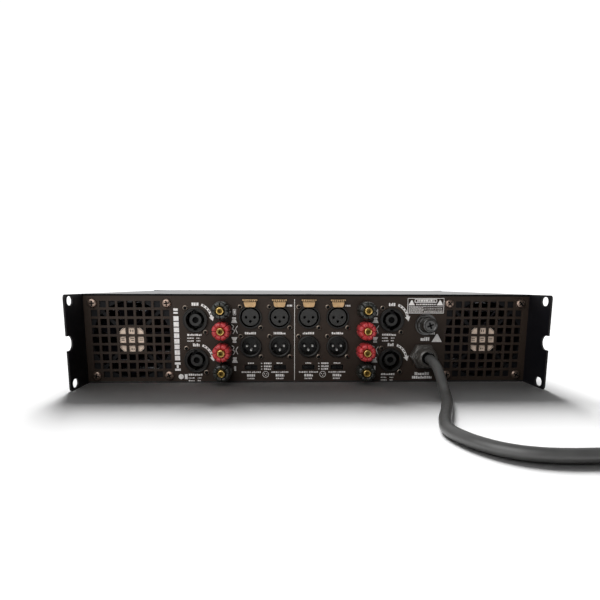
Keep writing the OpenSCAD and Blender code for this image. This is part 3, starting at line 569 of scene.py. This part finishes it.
def make_cap(number, x, z):
    """A screw cap of eight petals parted by thin slits, with a domed end and a through bore."""
    slot = "post_red" if number in RED_POSTS else "post_black"
    part = bmesh.new()
    petals, steps, cap_r, hub = 8, 128, 8.8, 3.9
    slit_half, slit_deep, petal_swell, slit_dip = 0.07, 1.7, 0.12, 1.3
    ring = bmesh.ops.create_circle(part, cap_ends=False, segments=steps, radius=1)["verts"]
    pitch = 2 * math.pi / petals

    def shape(verts, height, size):
        for v in verts:
            a = math.atan2(v.co.y, v.co.x)
            off = abs((a + pitch / 2) % pitch - pitch / 2)
            slit = max(0.0, 1 - off / slit_half)
            swell = petal_swell * (1 - off / (pitch / 2)) ** 2
            r = hub + (cap_r - swell - slit_deep * slit - hub) * size
            dip = (slit * slit_dip * min(1.0, max(0.0, (height - 18.0) / 1.5))
                   * min(1.0, size * 2))
            v.co = Vector((r * math.cos(a), r * math.sin(a), height - dip)) * MM

    shape(ring, 3.0, 0.84)
    edges = list({e for v in ring for e in v.link_edges})
    for height, size in ((3.3, 0.95), (4.0, 1.0), (11.0, 1.0), (16.6, 1.0), (18.4, 0.98),
                         (19.6, 0.93), (20.4, 0.83), (20.9, 0.67), (21.1, 0.48), (20.9, 0.27),
                         (20.3, 0.1), (19.4, 0.0), (3.0, 0.0)):
        grown = bmesh.ops.extrude_edge_only(part, edges=edges)["geom"]
        verts = [g for g in grown if isinstance(g, bmesh.types.BMVert)]
        edges = [g for g in grown if isinstance(g, bmesh.types.BMEdge)]
        shape(verts, height, size)
    bmesh.ops.bridge_loops(part, edges=[e for e in part.edges if e.is_boundary])
    bm = bmesh.new()
    join(bm, part, on_rear(x, z))
    name = "post_cap_%d" % number
    piece("petal_cap_%d" % number, bm, name, slot, replaces=[name], sharp=60)


def make_posts():
    """The eight caps, the gold ring at the end of each stem, and in each bore a liner and floor of
    darker brown-gold painted shade.
    """
    stem_rings, liners = bmesh.new(), bmesh.new()
    for number, (x, z) in enumerate(POSTS, 1):
        make_cap(number, x, z)
        join(stem_rings, turned([(2.65, 21.9), (2.65, 22.15), (2.8, 22.3), (3.1, 22.3),
                                 (3.4, 22.1), (3.55, 21.7), (3.55, 19.0), (3.1, 19.0),
                                 (3.1, 21.9)], 40), on_rear(x, z))
        # A liner and floor a little inside each bore, in darkened gold as painted shade.
        join(liners, turned([(0, 16.8), (1.97, 16.8), (1.97, 22.06), (2.75, 22.06), (2.75, 21.9),
                             (2.08, 21.9), (2.08, 16.5), (0, 16.5)], 24), on_rear(x, z))
    piece("stem_rings", stem_rings, "chassis", "stem_gold")
    piece("bore_shade_liners", liners, "chassis", "stem_gold", finish=FINISH["shaded_bore_gold"])


make_posts()


# ---------------------------------------------------------------------------
# Rounded rims on the rear connectors
# ---------------------------------------------------------------------------

def rim(bm, x, z, inner, outer, out):
    """A half-round rim standing out from the panel."""
    mid, half = (inner + outer) / 2, (outer - inner) / 2
    crown = half * 0.75
    outline = [(inner, 0.02)]
    for i in range(9):
        a = math.pi * (1 - i / 8)
        outline.append((mid + half * math.cos(a), out - crown + crown * math.sin(a)))
    outline.append((outer, 0.02))
    join(bm, turned(outline, 56), on_rear(x, z))


rims = bmesh.new()
for x in XLR_X:
    rim(rims, x, LINK_Z, 8.45, 10.97, 2.35)
    rim(rims, x, INPUT_Z, 9.85, 11.25, 0.6)
for x, z in OUTLETS:
    rim(rims, x, z, 10.9, 12.17, 2.1)
piece("connector_rims", rims, "chassis", "connector_black")


# ---------------------------------------------------------------------------
# Fuse holder and cap
# ---------------------------------------------------------------------------

def make_fuse_parts():
    """The fuse holder's stepped collar, and its cap with a crossed slot drawn as two near-black
    bars of painted shade.
    """
    collar = bmesh.new()
    join(collar, turned([(7.48, 0.02), (10.5, 0.02), (10.7, 0.4), (10.7, 1.1), (10.55, 1.6),
                         (10.2, 2.05), (9.75, 2.4), (9.4, 2.62), (9.38, 6.3), (9.2, 7.0),
                         (8.8, 7.55), (8.25, 7.95), (7.75, 8.15), (7.48, 8.05)], 64),
         on_rear(*FUSE))
    piece("fuse_collar", collar, "chassis", "fuse_black")
    cap = bmesh.new()
    part = turned([(0, 3.2), (7.38, 3.2), (7.38, 16.6), (7.2, 17.3), (6.8, 17.85), (6.2, 18.1),
                   (5.5, 18.1), (5.1, 17.8), (4.8, 17.5), (0, 17.5)], 64)
    join(cap, part, on_rear(*FUSE))
    piece("fuse_cap_turned", cap, "fuse_cap", "fuse_black", replaces=["fuse_cap"])
    # Painted shade: the slot is two near-black bars standing on the cap, not cut into it.
    slot = bmesh.new()
    for turn in (20, 110):
        join(slot, brick((1.5, 6.4, 0.5)), on_rear(*FUSE, 17.75, turn))
    piece("fuse_slot_shade", slot, "fuse_cap", "fuse_black", finish=FINISH["recess_dark"])


make_fuse_parts()


# ---------------------------------------------------------------------------
# Fan hub labels
# ---------------------------------------------------------------------------

def make_labels():
    """A round paper label on each fan hub, with a ring and plain blocks on it."""
    labels, ink = bmesh.new(), bmesh.new()
    for x in (-FAN_X, FAN_X):
        disc = bmesh.new()
        bmesh.ops.create_cone(disc, cap_ends=True, segments=48, radius1=14.2 * MM,
                              radius2=14.2 * MM, depth=0.14 * MM)
        join(labels, disc, on_rear(x, FAN_Z, -SHEET - 0.22))
        join(ink, turned([(13.3, -0.13), (13.3, -0.10), (13.6, -0.10), (13.6, -0.13)], 48),
             on_rear(x, FAN_Z, -SHEET - 0.03))
        for mx, mz, wide, tall in ((-0.9, 8.6, 0.9, 2.4), (1.1, 8.6, 0.9, 2.4), (-9, 0.8, 3.4, 0.6),
                                   (-9, -1.0, 3.4, 0.6), (0, 1.0, 3.6, 0.7), (0.4, -1.0, 2.8, 0.7),
                                   (9, 0.7, 3.4, 0.5), (9, -0.7, 3.4, 0.5), (-0.6, -9.4, 1.1, 1.6),
                                   (1.4, -9.4, 0.8, 1.6)):
            join(ink, brick((wide, tall, 0.05)), on_rear(x + mx, FAN_Z + mz, -SHEET - 0.13))
    piece("hub_labels", labels, "chassis", "label_cream")
    piece("hub_label_ink", ink, "chassis", "fan_black")


make_labels()


# ---------------------------------------------------------------------------
# Rear panel printing: plain bars, arrows and blocks
# ---------------------------------------------------------------------------

INK = 0.07        # how far the printing stands off the panel
INK_L = 0.12      # how thick it is
rng = random.Random(7)


def patch(bm, x0, z0, x1, z1, face=on_rear):
    """A flat printed block between two corners."""
    x0, x1, z0, z1 = min(x0, x1), max(x0, x1), min(z0, z1), max(z0, z1)
    place = face((x0 + x1) / 2, (z0 + z1) / 2, INK) @ Matrix.Diagonal(
        ((x1 - x0) * MM, (z1 - z0) * MM, 1, 1))
    bmesh.ops.create_grid(bm, x_segments=1, y_segments=1, size=0.5, matrix=place)


def line(bm, a, b, width=0.5, face=on_rear):
    """A straight printed line."""
    a, b = Vector(a), Vector(b)
    along = b - a
    across = along.x if face is on_rear else -along.x
    place = (face((a.x + b.x) / 2, (a.y + b.y) / 2, INK, math.degrees(math.atan2(along.y, across)))
             @ Matrix.Diagonal((along.length * MM, width * MM, 1, 1)))
    bmesh.ops.create_grid(bm, x_segments=1, y_segments=1, size=0.5, matrix=place)


def marks(bm, x0, z0, x1, z1, size=1.5, face=on_rear):
    """A row of small blocks of uneven width, as plain marks in place of words."""
    x0, x1, z0, z1 = min(x0, x1), max(x0, x1), min(z0, z1), max(z0, z1)
    x = x0
    while x < x1 - 0.3:
        wide = min(size * rng.uniform(0.5, 1.1), x1 - x)
        top = z1 - (z1 - z0) * rng.choice((0, 0, 0, 0.25))
        patch(bm, x, z0, x + wide, top, face)
        x += wide + 0.45


def dot(bm, x, z, r, steps=20):
    """A printed disc."""
    bmesh.ops.create_circle(bm, cap_ends=True, segments=steps, radius=r * MM,
                            matrix=on_rear(x, z, INK))


def ring_mark(bm, x, z, r, width=0.45, steps=28):
    """A printed ring of short lines."""
    for i in range(steps):
        a, b = 2 * math.pi * i / steps, 2 * math.pi * (i + 1) / steps
        line(bm, (x + r * math.cos(a), z + r * math.sin(a)),
             (x + r * math.cos(b), z + r * math.sin(b)), width)


def flat(bm, corners):
    """A printed flat shape on the rear panel, from its corners."""
    bm.faces.new([bm.verts.new((x * MM, (REAR - INK) * MM, z * MM)) for x, z in corners])


def arrow(bm, points):
    """A curved arrow: a band of short lengths with a pointed end."""
    width, head = 2.3, 5.4
    pts = [Vector(p) for p in points]
    for i in range(len(pts) - 1):
        step = pts[i + 1] - pts[i]
        side = Vector((-step.y, step.x)).normalized() * width / 2
        start, stop = pts[i] + step * 0.04, pts[i + 1] - step * 0.04
        if i % 2:
            flat(bm, [start + side, start + side * 0.45, stop + side * 0.45, stop + side])
            flat(bm, [start - side * 0.45, start - side, stop - side, stop - side * 0.45])
        else:
            flat(bm, [start + side, start - side, stop - side, stop + side])
    ahead = (pts[-1] - pts[-2]).normalized()
    side = Vector((-ahead.y, ahead.x)) * head / 2
    flat(bm, [pts[-1] + side, pts[-1] - side, pts[-1] + ahead * head * 0.85])


def arc_points(x, z, r, start, stop, count):
    """Points along an arc, from one angle to the other in degrees."""
    return [(x + r * math.cos(math.radians(start + (stop - start) * i / (count - 1))),
             z + r * math.sin(math.radians(start + (stop - start) * i / (count - 1))))
            for i in range(count)]


def frame_mark(bm, x0, z0, x1, z1, width=0.5, face=on_rear):
    """A printed outline of a block."""
    line(bm, (x0, z0), (x1, z0), width, face)
    line(bm, (x0, z1), (x1, z1), width, face)
    line(bm, (x0, z0), (x0, z1), width, face)
    line(bm, (x1, z0), (x1, z1), width, face)


def print_outlet(bm, x, z, text_x):
    """What is printed round one speaker outlet."""
    marks(bm, x - 3.2, z + 14.0, x + 3.4, z + 17.0, 2.0)
    arrow(bm, arc_points(x, z, 16.2, 68, 12, 10))
    low = z - 13.6
    marks(bm, text_x - 6.5, low - 1.9, text_x + 7.4, low, 1.9)
    marks(bm, text_x - 6.6, low - 4.8, text_x - 0.2, low - 3.7, 1.4)
    marks(bm, text_x + 2.4, low - 4.8, text_x + 6.0, low - 3.8, 1.4)
    marks(bm, text_x - 6.6, low - 7.6, text_x - 0.2, low - 6.4, 1.4)
    marks(bm, text_x + 2.4, low - 7.5, text_x + 6.0, low - 6.4, 1.4)


def horn(bm, x, z, up):
    """A plain horn shape: a wide mouth on a short foot, the mouth above (1) or below (-1)."""
    flat(bm, [(x - 3.0, z + 2.8 * up), (x + 3.0, z + 2.8 * up), (x + 1.4, z - 0.8 * up),
              (x - 1.4, z - 0.8 * up)])
    patch(bm, x - 1.9, z - 1.2 * up, x + 1.9, z - 2.8 * up)


def print_posts(bm, x):
    """The horns and tie lines beside one column of posts."""
    for z, up in ((62.6, -1), (42.9, 1), (22.8, -1)):
        horn(bm, x, z, up)
    frame_mark(bm, x - 0.8, 67.6, x + 1.8, 73.0, 0.5)
    patch(bm, x - 0.1, 68.6, x + 1.1, 72.0)
    for low, high in ((48.9, 58.2), (28.1, 37.2)):
        mid = (low + high) / 2
        line(bm, (x - 2.6, high), (x - 0.4, high - 1.6), 0.6)
        line(bm, (x - 0.4, high - 1.6), (x - 2.0, mid), 0.6)
        line(bm, (x - 2.0, mid), (x + 0.6, mid - 1.2), 0.6)
        line(bm, (x + 0.6, mid - 1.2), (x - 1.4, low), 0.6)
        line(bm, (x + 3.4, high - 1.0), (x + 1.2, mid + 0.4), 0.6)
        line(bm, (x + 1.2, mid + 0.4), (x + 3.0, low + 0.6), 0.6)
    patch(bm, x - 0.8, 11.8, x + 1.2, 16.6)


def print_left(bm):
    """The blocks by the left fan, and the left outlets' marks."""
    for i in range(8):
        z = 66.4 - i * 5.6
        patch(bm, -133.4, z - 4.6, -128.4, z)
    patch(bm, -133.2, 71.7, -128.9, 74.0)
    patch(bm, -133.2, 68.8, -128.9, 70.5)
    patch(bm, -133.7, 18.3, -128.1, 20.7)
    patch(bm, -132.0, 14.9, -130.0, 18.0)
    patch(bm, -133.7, 12.1, -128.1, 14.3)
    for x, z in OUTLETS[:2]:
        print_outlet(bm, x, z, x - 2.0)
    dot(bm, -128.0, 6.1, 2.6)
    patch(bm, -124.4, 3.6, -121.6, 8.6)
    print_posts(bm, -74.2)


def print_middle(bm):
    """The centre line, and the marks round the inputs, links and switches."""
    patch(bm, -14.9, 2.3, -14.4, 83.3)
    for x in XLR_X:
        marks(bm, x - 5.8, 48.5, x + 5.7, 50.7, 1.7)
        patch(bm, x - 2.4, 45.2, x + 2.4, 45.8)
    for x in (-19.6, 38.0):
        marks(bm, x - 2.5, 75.9, x + 2.5, 77.7, 1.3)
    for i, x in enumerate(XLR_X):
        wide = 9.6 if i % 2 == 0 else 8.4
        marks(bm, x - wide, 9.8, x - 0.6, 11.2, 1.3)
        marks(bm, x + 0.6, 9.8, x + wide, 11.2, 1.3)
        marks(bm, x - 4.2, 5.9, x + 4.4, 8.4, 2.0)
        marks(bm, x - 3.8, 3.3, x + 3.8, 4.6, 1.3)
        marks(bm, x - 3.2, 19.0, x + 3.2, 20.2, 1.3)
    for x in (-43.6, 13.8):
        for z in (19.4, 16.3, 13.6):
            marks(bm, x - 1.6, z - 0.8, x + 5.8, z + 0.8, 1.5)
            patch(bm, x - 4.6, z - 0.4, x - 3.4, z + 0.4)
        ring_mark(bm, x, 8.2, 3.0)
        for ox, oz in ((-1.2, 0.6), (1.2, 0.6), (0, -1.2)):
            dot(bm, x + ox, 8.2 + oz, 0.5, 10)


def print_right(bm):
    """The right outlets' marks, the plain plate and the triangle."""
    for x, z in OUTLETS[2:]:
        print_outlet(bm, x, z, x - 2.5)
    print_posts(bm, 66.0)
    frame_mark(bm, 97.6, 69.6, 133.7, 84.1, 0.5)
    frame_mark(bm, 104.7, 80.3, 126.4, 83.2, 0.7)
    marks(bm, 107.0, 81.0, 124.5, 82.5, 2.2)
    for x in (101.4, 129.8):
        flat(bm, [(x - 3.2, 77.3), (x + 3.2, 77.3), (x + 0.5, 82.2), (x - 0.5, 82.2)])
    marks(bm, 106.0, 77.6, 126.0, 78.8, 1.9)
    for row in range(6):
        z = 75.9 - row * 1.05
        marks(bm, 98.8, z - 0.3, 113.6, z + 0.3, 1.5)
        if row not in (1, 3):
            marks(bm, 114.2, z - 0.3, 132.6, z + 0.3, 1.5)
    marks(bm, 112.0, 41.9, 121.2, 45.6, 2.2)
    marks(bm, 116.6, 48.3, 126.0, 50.6, 1.9)
    flat(bm, [(123.1, 40.7), (133.5, 40.7), (128.9, 48.8), (127.7, 48.8)])
    marks(bm, 107.3, 7.0, 122.0, 10.0, 2.2)
    marks(bm, 104.8, 3.3, 125.3, 6.0, 2.0)


def print_piece(name, bm, outward):
    """Faces the printed shapes outward, -1 or 1 along Y, and gives them their thickness."""
    bm.normal_update()
    for face in bm.faces:
        if face.normal.y * outward < 0:
            face.normal_flip()
    bmesh.ops.solidify(bm, geom=bm.faces, thickness=INK_L * MM)
    bmesh.ops.recalc_face_normals(bm, faces=bm.faces)
    piece(name, bm, "chassis", "print_white")


def make_printing():
    for name, draw in (("printing_left", print_left), ("printing_middle", print_middle),
                       ("printing_right", print_right)):
        bm = bmesh.new()
        draw(bm)
        print_piece(name, bm, -1)


make_printing()


# ---------------------------------------------------------------------------
# Screws on the rear panel
# ---------------------------------------------------------------------------

def screw(heads, recess_shade, x, z, r, height, shank_r, shank_l, turn):
    """A pan head screw, with its cross recess drawn as two near-black bars of painted shade."""
    dome = [(0, -shank_l), (shank_r, -shank_l), (shank_r, 0.02), (r * 0.95, 0.02), (r, 0.25),
            (r * 0.98, height * 0.45), (r * 0.88, height * 0.75), (r * 0.68, height * 0.94),
            (r * 0.4, height), (0, height)]
    join(heads, turned(dome, 28), on_rear(x, z))
    for extra in (0, 90):
        join(recess_shade, brick((r * 1.18, r * 0.27, 0.12)), on_rear(x, z, height - 0.02, turn + extra))


def make_screws():
    """The fans' large screws and the connectors' small ones. The cross recesses are near-black bars
    of painted shade. Each connector screw's light head is a painted rim highlight, and a near-black
    disc covers its middle so that the light shows as a ring.
    """
    heads, small, recess_shade = bmesh.new(), bmesh.new(), bmesh.new()
    for fan in (-FAN_X, FAN_X):
        for sx in (-1, 1):
            for sz in (-1, 1):
                screw(heads, recess_shade, fan + sx * FAN_SCREW, FAN_Z + sz * FAN_SCREW, 4.5, 2.6,
                      1.8, 8, rng.uniform(0, 90))
    piece("fan_screws", heads, "chassis", "screw_nickel", replaces=["rear_screws"])
    places = ([(x - s * 9.5, z + s * 12, 2.6, 1.7) for x, z in OUTLETS for s in (-1, 1)]
              + [(x - s * 10, z + s * 10.2, 2.5, 1.65) for x, z in XLRS for s in (-1, 1)])
    for x, z, head_r, _ in places:
        screw(small, recess_shade, x, z, head_r, 1.5, 1.4, 3.5, rng.uniform(0, 90))
    for x, z, _, recess_r in places:
        disc = turned([(0, 0), (recess_r, 0), (recess_r, 0.08), (0, 0.08)], 20)
        join(recess_shade, disc, on_rear(x, z, 1.47))
    # The connector screws are black; their light heads are a painted rim highlight.
    piece("connector_screws", small, "chassis", "screw_black", finish=FINISH["screw_rim_highlight"])
    piece("screw_recess_shade", recess_shade, "chassis", "screw_black", finish=FINISH["recess_dark"])


make_screws()


# ---------------------------------------------------------------------------
# Painted shade: speaker outlet centres, release tab ribs and the cover's edge
# ---------------------------------------------------------------------------

def make_small_parts():
    """The outlets' centres, and the ribs and shadow line on each release tab, all in near-black
    painted shade.
    """
    # A near-black cone inside each outlet's centre hole, as painted shade.
    core_shade = bmesh.new()
    for x, z in OUTLETS:
        join(core_shade, turned([(0, -3.2), (3.05, -3.2), (3.05, -0.4), (2.8, -0.35), (2.6, -2.4),
                            (0, -2.9)], 32), on_rear(x, z))
    piece("outlet_core_shade", core_shade, "chassis", "connector_black", finish=FINISH["recess_dark"])
    for number, x in enumerate(XLR_X, 1):
        latch = "xlr_latch_%d" % number
        low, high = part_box(latch)
        out = REAR - low.y / MM
        top = high.z / MM
        ribs = bmesh.new()
        # Ribs and a shadow line in near-black painted shade on the gold tab.
        for k in range(7):
            join(ribs, brick((0.55, 1.9, 0.3)),
                 on_rear(x + (k - 3) * 1.85, top - 1.15, out - 0.06))
        join(ribs, brick((13.2, 0.35, 0.3)), on_rear(x, top - 2.35, out - 0.1))
        piece("tab_rib_shade_%d" % number, ribs, latch, "latch_gold", finish=FINISH["recess_dark"])


make_small_parts()


def make_cover_edge():
    """A near-black strip of painted shade along the cover's rear edge, above the rear panel."""
    bm = bmesh.new()
    join(bm, brick((440.6, 0.3, 1.75)),
         Matrix.Translation((0, (REAR - 0.05) * MM, (CASE_H - 0.95) * MM)))
    piece("cover_shadow_line", bm, "chassis", "case_black", finish=FINISH["recess_dark"])


make_cover_edge()


# ---------------------------------------------------------------------------
# Front panel: marks, pointers and lamps
# ---------------------------------------------------------------------------

def make_front():
    """The front's printed marks, the knobs' faces and pointers, and the lamps."""
    ink = bmesh.new()
    for x in KNOB_X:
        for k in range(11):
            a = math.radians(90 - (-150 + 30 * k))
            long = 14.6 if k in (0, 5, 10) else 13.6
            line(ink, (x + 11.8 * math.cos(a), KNOB_Z + 11.8 * math.sin(a)),
                 (x + long * math.cos(a), KNOB_Z + long * math.sin(a)), 0.5, on_front)
        marks(ink, x - 6, KNOB_Z + 17.0, x + 6, KNOB_Z + 19.0, 1.8, on_front)
        frame_mark(ink, x - 12.4, LED_Z - 3.9, x + 12.4, LED_Z + 3.9, 0.4, on_front)
    line(ink, (0, ROCKER_Z + 11), (0, ROCKER_Z + 8.6), 0.6, on_front)
    for x in (-64, 64):
        marks(ink, x - 9, ROCKER_Z - 1, x + 9, ROCKER_Z + 1, 1.9, on_front)
    print_piece("front_marks", ink, 1)
    for number, x in enumerate(KNOB_X, 1):
        name = "gain_knob_%d" % number
        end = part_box(name)[1].y / MM - FRONT
        pointer = bmesh.new()
        join(pointer, brick((1.0, 6.0, 0.5), 0.15), on_front(x, KNOB_Z + 4.6, end - 0.1))
        piece("knob_pointer_%d" % number, pointer, name, "print_white")
        dial = bmesh.new()
        join(dial, turned([(0, end - 0.25), (7.2, end - 0.25), (7.3, end + 0.02), (6.8, end + 0.15),
                           (6.4, end + 0.02), (0, end - 0.05)], 48), on_front(x, KNOB_Z))
        piece("knob_face_%d" % number, dial, name, "knob_black")
    lamps = {"lamp_green": bmesh.new(), "lamp_amber": bmesh.new(), "lamp_red": bmesh.new()}
    for x in KNOB_X:
        for k in range(6):
            colour = "lamp_red" if k == 5 else "lamp_amber" if k == 4 else "lamp_green"
            part = bmesh.new()
            bmesh.ops.create_uvsphere(part, u_segments=14, v_segments=8, radius=0.95 * MM)
            join(lamps[colour], part, on_front(x - 8.5 + k * 3.4, LED_Z, 0.25)
                 @ Matrix.Diagonal((1, 1, 0.35, 1)))
    for colour, bm in lamps.items():
        piece(colour + "s", bm, "chassis", "led_window", finish=FINISH[colour])


make_front()


# ---------------------------------------------------------------------------
# Floor, light and background
# ---------------------------------------------------------------------------

def make_floor():
    """A plain pale floor."""
    mesh = bpy.data.meshes.new("floor")
    bm = bmesh.new()
    bmesh.ops.create_grid(bm, x_segments=1, y_segments=1, size=15)
    bm.to_mesh(mesh)
    bm.free()
    floor = bpy.data.objects.new("floor", mesh)
    bpy.context.scene.collection.objects.link(floor)
    mat = bpy.data.materials.new("pale_floor")
    mat.use_nodes = True
    shader = mat.node_tree.nodes["Principled BSDF"]
    shader.inputs["Base Color"].default_value = (0.93, 0.93, 0.93, 1)
    shader.inputs["Roughness"].default_value = 0.9
    shader.inputs["Specular IOR Level"].default_value = 0.1
    mesh.materials.append(mat)
    return floor


def aim(light, at, to):
    """Puts a light in its place and turns it to a point."""
    light.location = at
    light.rotation_euler = (Vector(to) - Vector(at)).to_track_quat("-Z", "Y").to_euler()


def make_lights(floor):
    """A soft back light, a front light, and a white background."""
    sky = bpy.data.lights.new("back_light", "SUN")
    sky.angle = math.radians(29)
    sky.energy = 6.9
    back = bpy.data.objects.new("back_light", sky)
    bpy.context.scene.collection.objects.link(back)
    back.visible_glossy = False
    aim(back, (-0.12, 1.7, 1.11), (0, 0, 0))
    key = bpy.data.lights.new("key_light", "AREA")
    key.shape = "RECTANGLE"
    key.size, key.size_y = 0.75, 0.55
    key.energy = 3.5
    front = bpy.data.objects.new("key_light", key)
    bpy.context.scene.collection.objects.link(front)
    front.visible_camera = False
    aim(front, (-0.33, -0.60, 0.45), (-0.06, -0.168, 0.05))
    # The front light is kept off the floor, so that the shadow under the case stays deep, and
    # off the cover, where it would be mirrored. The back light is kept off the lead.
    for light, things in ((front, (floor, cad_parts["top_cover"])), (back, (lead,))):
        kept_off = bpy.data.collections.new("not_lit_by_" + light.name)
        for thing in things:
            kept_off.objects.link(thing)
        for held in kept_off.collection_objects:
            held.light_linking.link_state = "EXCLUDE"
        light.light_linking.receiver_collection = kept_off
    world = bpy.data.worlds.new("studio")
    bpy.context.scene.world = world
    world.use_nodes = True
    nodes, links = world.node_tree.nodes, world.node_tree.links
    nodes.clear()
    out = nodes.new("ShaderNodeOutputWorld")
    dim = nodes.new("ShaderNodeBackground")
    dim.inputs["Color"].default_value = (1, 1, 1, 1)
    place = nodes.new("ShaderNodeTexCoord")
    parts = nodes.new("ShaderNodeSeparateXYZ")
    rise = nodes.new("ShaderNodeMapRange")
    rise.inputs["From Min"].default_value = 0.2
    rise.inputs["From Max"].default_value = 0.95
    rise.inputs["To Min"].default_value = 0.06
    rise.inputs["To Max"].default_value = 1.0
    links.new(place.outputs["Generated"], parts.inputs[0])
    links.new(parts.outputs["Y"], rise.inputs["Value"])
    links.new(rise.outputs[0], dim.inputs["Strength"])
    white = nodes.new("ShaderNodeBackground")
    white.inputs["Color"].default_value = (1, 1, 1, 1)
    white.inputs["Strength"].default_value = 1.05
    seen = nodes.new("ShaderNodeLightPath")
    mix = nodes.new("ShaderNodeMixShader")
    links.new(seen.outputs["Is Camera Ray"], mix.inputs[0])
    links.new(dim.outputs[0], mix.inputs[1])
    links.new(white.outputs[0], mix.inputs[2])
    links.new(mix.outputs[0], out.inputs[0])


make_lights(make_floor())
bpy.context.scene.view_settings.view_transform = "Standard"
